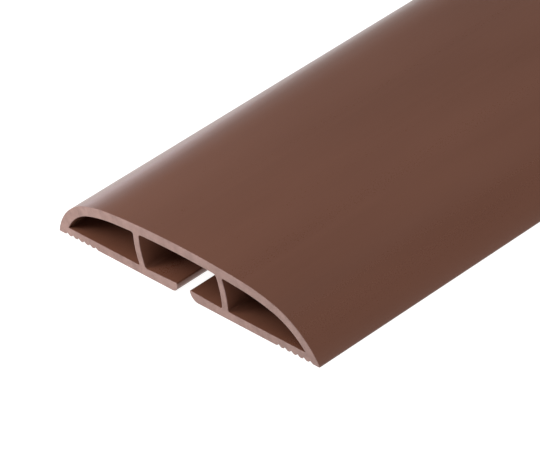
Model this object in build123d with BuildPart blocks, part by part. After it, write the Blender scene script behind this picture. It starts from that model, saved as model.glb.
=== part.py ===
from build123d import *
from math import hypot, sqrt
import os

# Floor cord cover: one flexible extruded strip that lies on the floor over cords.
# The section lies in X and Z, and the strip runs along Y. Z = 0 is the floor, and
# the origin is on the floor, under the middle of the strip. Millimetres.
# The strip is one extrusion. Its walls are separate solids that meet face to face,
# because they fold against each other along the roof and at the feet of the webs.

# Overall sizes
length = 914.0
width = 70.0
height = 11.2

# Outer surface: a wide crown arc that runs smoothly into an arc on each flank
crown_radius = 200.0
flank_radius = 16.6

# Walls
skin = 2.0
base = 1.8
web_wall = 1.55
web_bow = 0.35

# Middle channel, and the slit between its two lips
middle_channel = 20.5
slit = 3.4
lip_rise = 0.35
lip_under_radius = 1.8
lip_top_radius = 0.25

# The roof over the middle channel bends along two lines this far apart
fold_spacing = 11.0

# Grip teeth under both outer edges
tooth_pitch = 1.6
groove_width = 1.15
groove_depth = 0.5
grooves_under_edge = 1
grooves_under_base = 5

half_width = width / 2
half_length = length / 2
web_inner = middle_channel / 2
web_outer = web_inner + web_wall
lip_tip = slit / 2
fold_x = fold_spacing / 2
lip_tip_height = base + lip_rise


def flank_centre():
    """Centre of the flank arc, which ends on the floor and runs into the crown arc."""
    crown_z = height - crown_radius
    reach = hypot(half_width, crown_z)
    ux, uz = half_width / reach, -crown_z / reach
    crown_side = crown_radius - flank_radius
    along = (crown_side**2 - flank_radius**2 + reach**2) / (2 * reach)
    aside = sqrt(crown_side**2 - along**2)
    return along * ux - aside * uz, crown_z + along * uz + aside * ux


flank_x, flank_z = flank_centre()
crown_to_flank = crown_radius - flank_radius
shoulder_slope_x = flank_x / crown_to_flank
shoulder_slope_z = (flank_z - height + crown_radius) / crown_to_flank


def shoulder(inset):
    """Where the crown arc runs into the flank arc, that far under the outer surface."""
    reach = flank_radius - inset
    return flank_x + reach * shoulder_slope_x, flank_z + reach * shoulder_slope_z


def flank_at(inset, z):
    """How far out the flank arc is at height z."""
    return flank_x + sqrt((flank_radius - inset) ** 2 - (z - flank_z) ** 2)


shoulder_x = shoulder(0)[0]
corner_x = flank_at(skin, base)
ramp_x = (shoulder_x + corner_x) / 2


def dome(inset, mode=Mode.ADD):
    """Everything under the outer surface, moved in by inset, down to the floor."""
    top = (0, height - inset)
    joint = shoulder(inset)
    foot = (flank_at(inset, 0), 0)
    with BuildLine() as outline:
        TangentArc(top, joint, tangent=(1, 0))
        TangentArc(joint, foot, tangent=(shoulder_slope_z, -shoulder_slope_x))
        Line(foot, (0, 0))
        mirror(about=Plane.YZ)
    make_face(outline.edges(), mode=mode)


def keep(x_from, x_to, z_from, z_to):
    """Trim the open sketch to one box of the section."""
    with Locations(((x_from + x_to) / 2, (z_from + z_to) / 2)):
        Rectangle(abs(x_to - x_from), z_to - z_from, mode=Mode.INTERSECT)


def cut_grooves(side, numbers):
    """Cut the V grooves between grip teeth, counted out from the channel's corner."""
    for number in numbers:
        groove_x = side * (corner_x + (number + 0.5) * tooth_pitch)
        with BuildLine() as groove:
            Polyline(
                (groove_x - groove_width / 2, 0),
                (groove_x, groove_depth),
                (groove_x + groove_width / 2, 0),
                close=True,
            )
        make_face(groove.edges(), mode=Mode.SUBTRACT)


def run_out():
    """Extrude the sketch over the strip's length."""
    extrude(amount=half_length, both=True)


def save(piece, label):
    """Name a finished piece and write it."""
    piece.part.label = label
    export_step(piece.part, f"parts/{label}.step")


os.makedirs("parts", exist_ok=True)

# Crown strip: the flat middle of the roof, between the two fold lines
with BuildPart() as crown_strip:
    with BuildSketch(Plane.XZ):
        dome(0)
        dome(skin, Mode.SUBTRACT)
        keep(-fold_x, fold_x, base, height)
    run_out()
save(crown_strip, "crown_strip")

for name, side in (("left", -1), ("right", 1)):
    # Roof panel: from the fold line, over the web, to the shoulder
    with BuildPart() as roof_panel:
        with BuildSketch(Plane.XZ):
            dome(0)
            dome(skin, Mode.SUBTRACT)
            keep(side * fold_x, side * shoulder_x, base, height)
        run_out()
    save(roof_panel, f"{name}_roof_panel")

    # Shoulder: the upper half of the curved flank over the side channel
    with BuildPart() as shoulder_wall:
        with BuildSketch(Plane.XZ):
            dome(0)
            dome(skin, Mode.SUBTRACT)
            keep(side * shoulder_x, side * ramp_x, base, height)
        run_out()
    save(shoulder_wall, f"{name}_shoulder")

    # Ramp: the lower, steeper half of the flank
    with BuildPart() as ramp:
        with BuildSketch(Plane.XZ):
            dome(0)
            dome(skin, Mode.SUBTRACT)
            keep(side * ramp_x, side * corner_x, base, height)
        run_out()
    save(ramp, f"{name}_ramp")

    # Grip edge: the solid outer edge, with the last teeth under it
    with BuildPart() as grip_edge:
        with BuildSketch(Plane.XZ):
            dome(0)
            keep(side * corner_x, side * half_width, 0, height)
            cut_grooves(side, range(grooves_under_edge))
        run_out()
    save(grip_edge, f"{name}_grip_edge")

    # Base: the floor of the side channel, from under the web to its outer corner
    with BuildPart() as base_strip:
        with BuildSketch(Plane.XZ):
            with Locations((side * (web_inner + corner_x) / 2, base / 2)):
                Rectangle(corner_x - web_inner, base)
            cut_grooves(side, range(-grooves_under_base, 0))
        run_out()
    save(base_strip, f"{name}_base")

    # Web: the wall between the middle channel and a side channel, bowed outwards
    with BuildPart() as web:
        with BuildSketch(Plane.XZ):
            inner_foot, outer_foot = (side * web_inner, base), (side * web_outer, base)
            inner_top, outer_top = (side * web_inner, height), (side * web_outer, height)
            bow_z = (base + height - skin) / 2
            with BuildLine():
                ThreePointArc(inner_foot, (side * (web_inner + web_bow), bow_z), inner_top)
                Line(inner_top, outer_top)
                ThreePointArc(outer_top, (side * (web_outer + web_bow), bow_z), outer_foot)
                Line(outer_foot, inner_foot)
            make_face()
            dome(skin, Mode.INTERSECT)
        run_out()
    save(web, f"{name}_web")

    # Lip: half of the middle channel's floor, free at the slit, with a rounded tip
    with BuildPart() as lip:
        with BuildSketch(Plane.XZ) as section:
            with BuildLine():
                Polyline(
                    (side * web_inner, 0),
                    (side * web_inner, base),
                    (side * lip_tip, lip_tip_height),
                    (side * lip_tip, 0),
                    close=True,
                )
            make_face()
            tip_end = -1 if side < 0 else 0
            under_radius = min(lip_under_radius, lip_tip_height - 1.2 * lip_top_radius)
            fillet(section.vertices().group_by(Axis.X)[tip_end].sort_by(Axis.Y)[0], under_radius)
            fillet(section.vertices().group_by(Axis.X)[tip_end].sort_by(Axis.Y)[-1], lip_top_radius)
        run_out()
    save(lip, f"{name}_lip")
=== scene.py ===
import math

import bmesh
import bpy
from mathutils import Matrix, Vector


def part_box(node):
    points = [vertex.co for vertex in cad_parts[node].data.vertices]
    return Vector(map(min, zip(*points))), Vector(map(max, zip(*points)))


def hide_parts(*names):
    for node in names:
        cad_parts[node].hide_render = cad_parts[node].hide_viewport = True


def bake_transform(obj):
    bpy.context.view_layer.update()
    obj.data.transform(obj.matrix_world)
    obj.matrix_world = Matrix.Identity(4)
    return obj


# The strip's section lies in X and Z and runs along Y, in metres.
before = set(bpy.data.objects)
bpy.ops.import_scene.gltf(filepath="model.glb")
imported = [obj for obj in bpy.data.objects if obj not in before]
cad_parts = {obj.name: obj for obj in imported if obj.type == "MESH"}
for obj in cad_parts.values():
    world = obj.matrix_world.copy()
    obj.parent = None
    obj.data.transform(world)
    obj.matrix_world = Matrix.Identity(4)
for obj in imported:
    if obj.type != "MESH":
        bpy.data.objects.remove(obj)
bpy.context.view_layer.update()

# ---------------------------------------------------------------- section sizes

MM = 0.001
Y_AXIS = (0, 1, 0)

# Sizes that the frame holds
edge_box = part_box("right_grip_edge")
base_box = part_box("right_base")
half_width = edge_box[1].x
corner_x = edge_box[0].x
near_y, far_y = edge_box[0].y, edge_box[1].y
web_inner = base_box[0].x
base = base_box[1].z
lip_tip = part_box("right_lip")[0].x

# Sizes of the section's arcs and walls
height = 11.2 * MM
crown_radius = 200 * MM
shoulder_radius = 40 * MM
shoulder_start, shoulder_end = math.radians(5), math.radians(16)
skin = 2.0 * MM
web_wall = 1.55 * MM
web_bow = 0.35 * MM
lip_rise = 0.35 * MM

# Grip teeth
tooth_pitch = 1.6 * MM
groove_width = 1.15 * MM
groove_depth = 0.5 * MM
grooves_outside, grooves_inside = 1, 5

# Rounding of the die's corners, and the chamfer that the knife leaves at both ends
web_fillet = 0.5 * MM
corner_fillet = 0.3 * MM
nose_radius = 0.35 * MM
tooth_round = 0.1 * MM
lip_under_radius = 1.8 * MM
lip_top_radius = 0.25 * MM
cut_chamfer = 0.09 * MM
crease_angle = math.radians(32)

# Steps that the arcs are drawn in
crown_steps, shoulder_steps, flank_steps = 18, 14, 28
channel_roof_steps, side_roof_steps, side_flank_steps = 20, 8, 20
web_steps = 12
lip_steps = 6

# How near a point of the section is to count as the one that is meant
corner_gap = 0.02 * MM
seam_gap = 1.6 * cut_chamfer
end_gap = 0.001 * MM
merge_gap = 0.0001 * MM

web_outer = web_inner + web_wall
lip_root = web_inner - web_fillet
lip_rest = lip_tip + 1.1 * lip_under_radius
crown_z = height - crown_radius

# The outer line is three tangent arcs: crown, shoulder and flank. The flank's radius is
# the one that brings its arc down to the foot of the edge.
shoulder_axis = Vector((math.sin(shoulder_start), math.cos(shoulder_start)))
shoulder_centre = Vector((0, crown_z)) + (crown_radius - shoulder_radius) * shoulder_axis
flank_axis = Vector((math.sin(shoulder_end), math.cos(shoulder_end)))
flank_top = shoulder_centre + shoulder_radius * flank_axis
flank_chord = flank_top - Vector((half_width, 0))
flank_radius = flank_chord.length_squared / (2 * flank_chord.dot(flank_axis))
flank_centre = flank_top - flank_radius * flank_axis


def roof_under(x):
    """Height of the roof's underside at x."""
    return crown_z + math.sqrt((crown_radius - skin) ** 2 - x**2)


def lip_height(x):
    """Height of a lip's upper face at x, which rises from the web's foot to the tip."""
    return base + lip_rise * (web_inner - x) / (web_inner - lip_tip)


# ---------------------------------------------------------------- drawing a section


def line(bm, vert, x, z):
    """Draw a straight edge from vert to a point of the section."""
    new = bmesh.ops.extrude_vert_indiv(bm, verts=[vert])["verts"][0]
    new.co = (x, near_y + cut_chamfer, z)
    return new


def arc(bm, vert, x, z, angle, steps):
    """Draw an arc from vert about a centre, clockwise as seen from the near end."""
    made = bmesh.ops.spin(
        bm, geom=[vert], cent=(x, near_y, z), axis=Y_AXIS, angle=angle, steps=steps
    )
    return next(g for g in made["geom_last"] if isinstance(g, bmesh.types.BMVert))


def bowed(bm, vert, x, z, bow, steps):
    """Draw the bowed face of a web from vert straight up or down to height z."""
    rise = z - vert.co.z
    radius = (rise**2 / 4 + bow**2) / (2 * bow)
    turn = 2 * math.asin(abs(rise) / 2 / radius)
    centre_z = vert.co.z + rise / 2
    return arc(bm, vert, x + bow - radius, centre_z, -math.copysign(turn, rise), steps)


def start(bm, x, z):
    """Put down the first point of an outline."""
    return bm.verts.new((x, near_y + cut_chamfer, z))


def run_out(bm):
    """Extrude the drawn outlines over the strip's length, as open walls."""
    made = bmesh.ops.extrude_edge_only(bm, edges=bm.edges[:])
    moved = [g for g in made["geom"] if isinstance(g, bmesh.types.BMVert)]
    bmesh.ops.translate(bm, verts=moved, vec=(0, far_y - near_y - 2 * cut_chamfer, 0))


def round_along(bm, x, z, radius, segments):
    """Round the lengthwise edge that stands at one point of the section."""
    found = [
        e
        for e in bm.edges
        if abs(e.verts[0].co.y - e.verts[1].co.y) > MM
        and (e.verts[0].co.xz - Vector((x, z))).length < corner_gap
    ]
    bmesh.ops.bevel(
        bm, geom=found, offset=radius, offset_type="OFFSET", affect="EDGES",
        segments=segments, profile=0.5, material=-1, clamp_overlap=True,
    )


def cut_ends(bm, seams):
    """Close both ends with a cut face inside a fine chamfer, flush at the seams."""
    for end_y, outward in ((near_y, -1), (far_y, 1)):
        wall_end = end_y - outward * cut_chamfer
        rim = [e for e in bm.edges if all(abs(v.co.y - wall_end) < end_gap for v in e.verts)]
        filled = bmesh.ops.triangle_fill(
            bm, edges=rim, use_beauty=True, use_dissolve=False, normal=(0, outward, 0)
        )
        cut = [g for g in filled["geom"] if isinstance(g, bmesh.types.BMFace)]
        bmesh.ops.recalc_face_normals(bm, faces=bm.faces[:])
        edge_faces = bmesh.ops.inset_region(
            bm, faces=cut, thickness=cut_chamfer, use_even_offset=True, use_boundary=True
        )["faces"]
        for face in cut + edge_faces:
            face.material_index = 1
        for vert in {v for face in cut for v in face.verts}:
            vert.co.y = end_y
            for seam in seams:
                if abs(vert.co.x - seam) < seam_gap:
                    vert.co.x = seam


def finish_piece(bm, name, side, materials):
    """Mirror the drawing to its side of the strip and make it an object."""
    if side < 0:
        bmesh.ops.scale(bm, vec=(-1, 1, 1), verts=bm.verts[:])
    bmesh.ops.remove_doubles(bm, verts=bm.verts[:], dist=merge_gap)
    bmesh.ops.recalc_face_normals(bm, faces=bm.faces[:])
    mesh = bpy.data.meshes.new(name)
    bm.to_mesh(mesh)
    bm.free()
    piece = bpy.data.objects.new(name, mesh)
    bpy.context.scene.collection.objects.link(piece)
    for material in materials:
        mesh.materials.append(material)
    mesh.shade_smooth()
    mesh.set_sharp_from_angle(angle=crease_angle)
    return piece


# ---------------------------------------------------------------- the two halves


def half_strip(name, side, materials):
    """Roof, flank, edge, base and web of one half, with the side channel inside."""
    bm = bmesh.new()
    shoulder_turn = shoulder_end - shoulder_start
    grooves = [
        corner_x + (number + 0.5) * tooth_pitch
        for number in range(-grooves_inside, grooves_outside)
    ]

    # Outer outline: over the roof to the edge, back under the base, and round the
    # middle channel to the middle of the roof
    foot_angle = math.acos(-flank_centre.y / flank_radius)
    first = start(bm, 0, height)
    pen = arc(bm, first, 0, crown_z, shoulder_start, crown_steps)
    pen = arc(bm, pen, *shoulder_centre, shoulder_turn, shoulder_steps)
    pen = arc(bm, pen, *flank_centre, foot_angle - shoulder_end, flank_steps)
    for groove_x in reversed(grooves):
        pen = line(bm, pen, groove_x + groove_width / 2, 0)
        pen = line(bm, pen, groove_x, groove_depth)
        pen = line(bm, pen, groove_x - groove_width / 2, 0)
    pen = line(bm, pen, lip_root, 0)
    pen = line(bm, pen, lip_root, base)
    pen = line(bm, pen, web_inner, base)
    pen = bowed(bm, pen, web_inner, roof_under(web_inner), web_bow, web_steps)
    roof_angle = math.asin(web_inner / (crown_radius - skin))
    pen = arc(bm, pen, 0, crown_z, -roof_angle, channel_roof_steps)
    bm.edges.new((pen, first))

    # Side channel: up the web, along the roof and down the flank to its corner
    inner_angle = math.acos((base - flank_centre.y) / (flank_radius - skin))
    first = start(bm, web_outer, base)
    pen = bowed(bm, first, web_outer, roof_under(web_outer), web_bow, web_steps)
    roof_angle = math.asin(web_outer / (crown_radius - skin))
    pen = arc(bm, pen, 0, crown_z, shoulder_start - roof_angle, side_roof_steps)
    pen = arc(bm, pen, *shoulder_centre, shoulder_turn, shoulder_steps)
    pen = arc(bm, pen, *flank_centre, inner_angle - shoulder_end, side_flank_steps)
    bm.edges.new((pen, first))
    inner_corner_x = pen.co.x

    run_out(bm)
    round_along(bm, half_width, 0, nose_radius, 3)
    for x in (web_inner, web_outer):
        for z in (base, roof_under(x)):
            round_along(bm, x, z, web_fillet, 5)
    round_along(bm, inner_corner_x, base, corner_fillet, 4)
    for groove_x in grooves:
        for x, z in ((-groove_width / 2, 0), (0, groove_depth), (groove_width / 2, 0)):
            round_along(bm, groove_x + x, z, tooth_round, 2)
    cut_ends(bm, seams=(0, lip_root))
    return finish_piece(bm, name, side, materials)


# ---------------------------------------------------------------- the two lips


def lip_strip(name, side, materials):
    """One lip, from the web's foot fillet to its rounded tip at the slit."""
    bm = bmesh.new()
    first = start(bm, lip_root, 0)
    pen = line(bm, first, lip_root, base)
    for step in range(1, lip_steps + 1):
        share = step / lip_steps
        x = lip_root + (lip_rest - lip_root) * share
        pen = line(bm, pen, x, lip_height(x))
    pen = line(bm, pen, lip_tip, base + lip_rise)
    pen = line(bm, pen, lip_tip, 0)
    for step in range(lip_steps):
        pen = line(bm, pen, lip_rest + (lip_root - lip_rest) * step / lip_steps, 0)
    bm.edges.new((pen, first))
    run_out(bm)
    round_along(bm, lip_tip, base + lip_rise, lip_top_radius, 4)
    round_along(bm, lip_tip, 0, lip_under_radius, 8)
    cut_ends(bm, seams=(lip_root,))
    return finish_piece(bm, name, side, materials)


# ---------------------------------------------------------------- materials


def node_group(name, inputs, outputs):
    """An empty shader group with its sockets, and its two end nodes."""
    group = bpy.data.node_groups.new(name, "ShaderNodeTree")
    for socket, kind, value in inputs:
        made = group.interface.new_socket(socket, in_out="INPUT", socket_type=kind)
        if value is not None:
            made.default_value = value
    for socket, kind in outputs:
        group.interface.new_socket(socket, in_out="OUTPUT", socket_type=kind)
    return group, group.nodes.new("NodeGroupInput"), group.nodes.new("NodeGroupOutput")


def feed(tree, socket, value):
    """Give a socket its value, or link it where the value is a socket too."""
    if isinstance(value, bpy.types.NodeSocket):
        tree.links.new(value, socket)
    else:
        socket.default_value = value


def noise(tree, vector, scale, detail, roughness=0.5):
    """A noise texture on a vector."""
    node = tree.nodes.new("ShaderNodeTexNoise")
    feed(tree, node.inputs["Scale"], scale)
    node.inputs["Detail"].default_value = detail
    node.inputs["Roughness"].default_value = roughness
    tree.links.new(vector, node.inputs["Vector"])
    return node.outputs["Fac"]


def stretched(tree, vector, scale):
    """Object coordinates with each axis scaled, by a socket or by three numbers."""
    node = tree.nodes.new("ShaderNodeMapping")
    feed(tree, node.inputs["Scale"], scale)
    tree.links.new(vector, node.inputs["Vector"])
    return node.outputs["Vector"]


def combined(tree, operation, first, second):
    """A math node on two values, each a socket or a number."""
    node = tree.nodes.new("ShaderNodeMath")
    node.operation = operation
    feed(tree, node.inputs[0], first)
    feed(tree, node.inputs[1], second)
    return node.outputs[0]


def mixed(tree, factor, first, second):
    """Mix two colours, each a socket or a colour."""
    node = tree.nodes.new("ShaderNodeMix")
    node.data_type = "RGBA"
    feed(tree, node.inputs["Factor"], factor)
    feed(tree, node.inputs[6], first)
    feed(tree, node.inputs[7], second)
    return node.outputs[2]


def spread(tree, value, low, high):
    """Stretch the part of a value between low and high over 0 to 1, clamped."""
    node = tree.nodes.new("ShaderNodeMapRange")
    tree.links.new(value, node.inputs["Value"])
    node.inputs["From Min"].default_value = low
    node.inputs["From Max"].default_value = high
    return node.outputs["Result"]


def vinyl_surface_group():
    """Vinyl as the die leaves it: soft clouds, lines along the strip, and fine grain."""
    tree, given, result = node_group(
        "vinyl_surface",
        [
            ("Base", "NodeSocketColor", None),
            ("Cloud", "NodeSocketColor", None),
            ("Cloud Scale", "NodeSocketVector", None),
            ("Line Scale", "NodeSocketVector", None),
            ("Line Strength", "NodeSocketFloat", 0.3),
            ("Grain Scale", "NodeSocketFloat", 4000.0),
            ("Roughness Low", "NodeSocketFloat", 0.4),
            ("Roughness High", "NodeSocketFloat", 0.5),
        ],
        [
            ("Color", "NodeSocketColor"),
            ("Roughness", "NodeSocketFloat"),
            ("Height", "NodeSocketFloat"),
        ],
    )
    given, result = given.outputs, result.inputs
    where = tree.nodes.new("ShaderNodeTexCoord").outputs["Object"]
    clouds = noise(tree, stretched(tree, where, given["Cloud Scale"]), 1, 3, 0.55)
    lines = noise(tree, stretched(tree, where, given["Line Scale"]), 1, 2)
    wide_lines = noise(tree, stretched(tree, where, (180, 1.2, 180)), 1, 1)
    grain = noise(tree, where, given["Grain Scale"], 2)

    color = mixed(tree, spread(tree, clouds, 0.35, 0.68), given["Base"], given["Cloud"])
    line_mask = combined(tree, "MULTIPLY", spread(tree, lines, 0.4, 0.66), given["Line Strength"])
    tree.links.new(mixed(tree, line_mask, color, given["Cloud"]), result["Color"])

    worn = spread(tree, combined(tree, "MULTIPLY", grain, wide_lines), 0.12, 0.4)
    span = combined(tree, "SUBTRACT", given["Roughness High"], given["Roughness Low"])
    rough = combined(tree, "MULTIPLY", worn, span)
    rough = combined(tree, "ADD", rough, given["Roughness Low"])
    tree.links.new(rough, result["Roughness"])

    relief = combined(tree, "MULTIPLY", lines, given["Line Strength"])
    relief = combined(tree, "ADD", relief, combined(tree, "MULTIPLY", grain, 0.35))
    relief = combined(tree, "ADD", relief, combined(tree, "MULTIPLY", wide_lines, 0.8))
    tree.links.new(relief, result["Height"])
    return tree


def bumped(tree, height_socket, strength, distance):
    """A bump node, ready for a shader's Normal."""
    node = tree.nodes.new("ShaderNodeBump")
    node.inputs["Strength"].default_value = strength
    node.inputs["Distance"].default_value = distance
    tree.links.new(height_socket, node.inputs["Height"])
    return node.outputs["Normal"]


def new_material(name):
    """A material with only its shader and output."""
    material = bpy.data.materials.new(name)
    material.use_nodes = True
    return material, material.node_tree, material.node_tree.nodes["Principled BSDF"]


def vinyl(name, surface, look, bump_strength, bump_distance):
    """A vinyl finish: the shared surface with the finish's own values."""
    material, tree, shader = new_material(name)
    group = tree.nodes.new("ShaderNodeGroup")
    group.node_tree = surface
    for socket, value in look.items():
        group.inputs[socket].default_value = value
    normal = bumped(tree, group.outputs["Height"], bump_strength, bump_distance)
    tree.links.new(group.outputs["Color"], shader.inputs["Base Color"])
    tree.links.new(group.outputs["Roughness"], shader.inputs["Roughness"])
    tree.links.new(normal, shader.inputs["Normal"])
    shader.inputs["IOR"].default_value = 1.5
    return material, shader


def brown_vinyl(surface):
    """The strip's skin: satin brown vinyl."""
    look = {
        "Base": (0.14, 0.055, 0.033, 1),
        "Cloud": (0.16, 0.065, 0.04, 1),
        "Cloud Scale": (60, 14, 60),
        "Line Scale": (900, 2.5, 900),
        "Line Strength": 0.3,
        "Grain Scale": 5000,
        "Roughness Low": 0.27,
        "Roughness High": 0.35,
    }
    material, shader = vinyl("brown_vinyl", surface, look, 0.25, 0.00008)
    shader.inputs["Specular IOR Level"].default_value = 0.45
    return material


def cut_vinyl_partly_painted_light(surface):
    """The cut face: the same vinyl where the knife opened it, matt, and paler partly in its own
    colour and partly by painted light standing in for the strong light on the cut end.
    """
    # Base and Cloud are partly painted light: paler than the cut vinyl's own colour, to stand in
    # for the strong light that falls on the cut end.
    look = {
        "Base": (0.228, 0.134, 0.113, 1),
        "Cloud": (0.315, 0.19, 0.162, 1),
        "Cloud Scale": (420, 420, 420),
        "Line Scale": (1500, 400, 60),
        "Line Strength": 0.3,
        "Grain Scale": 2600,
        "Roughness Low": 0.62,
        "Roughness High": 0.8,
    }
    return vinyl("cut_vinyl_partly_painted_light", surface, look, 0.5, 0.0001)[0]


# ---------------------------------------------------------------- pieces

surface = vinyl_surface_group()
finishes = (brown_vinyl(surface), cut_vinyl_partly_painted_light(surface))
half_walls = ("roof_panel", "shoulder", "ramp", "grip_edge", "base", "web")

for name, side in (("left", -1), ("right", 1)):
    half = half_strip(f"{name}_half_strip", side, finishes)
    walls = [f"{name}_{wall}" for wall in half_walls]
    if side < 0:
        walls.append("crown_strip")
    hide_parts(*walls)
    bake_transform(half)

    lip = lip_strip(f"{name}_lip_strip", side, finishes)
    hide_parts(f"{name}_lip")
    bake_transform(lip)

# ---------------------------------------------------------------- stage

floor_radius, floor_segments, wall_height = 14, 96, 1.1


def floor():
    """A plain pale floor that turns up into a low wall far from the strip."""
    bm = bmesh.new()
    bmesh.ops.create_circle(
        bm, cap_ends=True, radius=floor_radius, segments=floor_segments
    )
    rim = [e for e in bm.edges if e.is_boundary]
    raised = bmesh.ops.extrude_edge_only(bm, edges=rim)["geom"]
    lifted = [g for g in raised if isinstance(g, bmesh.types.BMVert)]
    bmesh.ops.translate(bm, verts=lifted, vec=(0, 0, wall_height))
    mesh = bpy.data.meshes.new("floor")
    bm.to_mesh(mesh)
    bm.free()
    ground = bpy.data.objects.new("floor", mesh)
    bpy.context.scene.collection.objects.link(ground)
    material, _, shader = new_material("pale_floor")
    shader.inputs["Base Color"].default_value = (0.3, 0.3, 0.3, 1)
    shader.inputs["Roughness"].default_value = 0.9
    shader.inputs["Specular IOR Level"].default_value = 0.1
    shader.inputs["Emission Color"].default_value = (1, 1, 1, 1)
    shader.inputs["Emission Strength"].default_value = 0.95
    mesh.materials.append(material)


def softbox(name, place, aim, size, power, tint=(1, 1, 1)):
    """A square soft light that faces a point."""
    data = bpy.data.lights.new(name, "AREA")
    data.shape = "SQUARE"
    data.size = size
    data.energy = power
    data.color = tint
    light = bpy.data.objects.new(name, data)
    light.location = place
    light.rotation_euler = (Vector(aim) - Vector(place)).to_track_quat("-Z", "Y").to_euler()
    bpy.context.scene.collection.objects.link(light)


def skylight(name, towards, spread_angle, strength):
    """A wide soft light from far away, even over the whole strip."""
    data = bpy.data.lights.new(name, "SUN")
    data.angle = spread_angle
    data.energy = strength
    light = bpy.data.objects.new(name, data)
    light.rotation_euler = Vector(towards).to_track_quat("-Z", "Y").to_euler()
    bpy.context.scene.collection.objects.link(light)


floor()
near_end = Vector((0, near_y, 0))
key_offset = Vector((-0.11, -0.09, 0.075))
gloss_offset = Vector((-0.7, 0.34, 0.03))
cool_white = (0.93, 0.9, 1)
softbox("key", near_end + key_offset, near_end, 0.08, 0.165)
skylight("overhead", (-0.05, 0.22, -1), math.radians(50), 1.88)
softbox("gloss", near_end + gloss_offset, near_end, 0.12, 0.17, cool_white)

world = bpy.data.worlds.new("studio")
bpy.context.scene.world = world
world.use_nodes = True
background = world.node_tree.nodes["Background"]
background.inputs["Color"].default_value = (1, 1, 1, 1)
background.inputs["Strength"].default_value = 0.22
bpy.context.scene.view_settings.view_transform = "Standard"

# ---------------------------------------------------------------- camera

azimuth, elevation, roll = math.radians(54.5), math.radians(33.2), math.radians(-11.0)
distance = 688 * MM
aim_right, aim_up = 14.6 * MM, 12.4 * MM

back = Vector(
    (
        math.sin(azimuth) * math.cos(elevation),
        -math.cos(azimuth) * math.cos(elevation),
        math.sin(elevation),
    )
)
level_right = Vector((math.cos(azimuth), math.sin(azimuth), 0))
level_up = back.cross(level_right)
right = math.cos(roll) * level_right + math.sin(roll) * level_up
up = -math.sin(roll) * level_right + math.cos(roll) * level_up
camera_data = bpy.data.cameras.new("camera")
camera_data.lens = 266.7
camera_data.sensor_width = 36
camera_data.clip_start = 0.01
camera = bpy.data.objects.new("camera", camera_data)
place = near_end + aim_right * right + aim_up * up + distance * back
camera.matrix_world = Matrix.Translation(place) @ Matrix((right, up, back)).transposed().to_4x4()
bpy.context.scene.collection.objects.link(camera)
bpy.context.scene.camera = camera
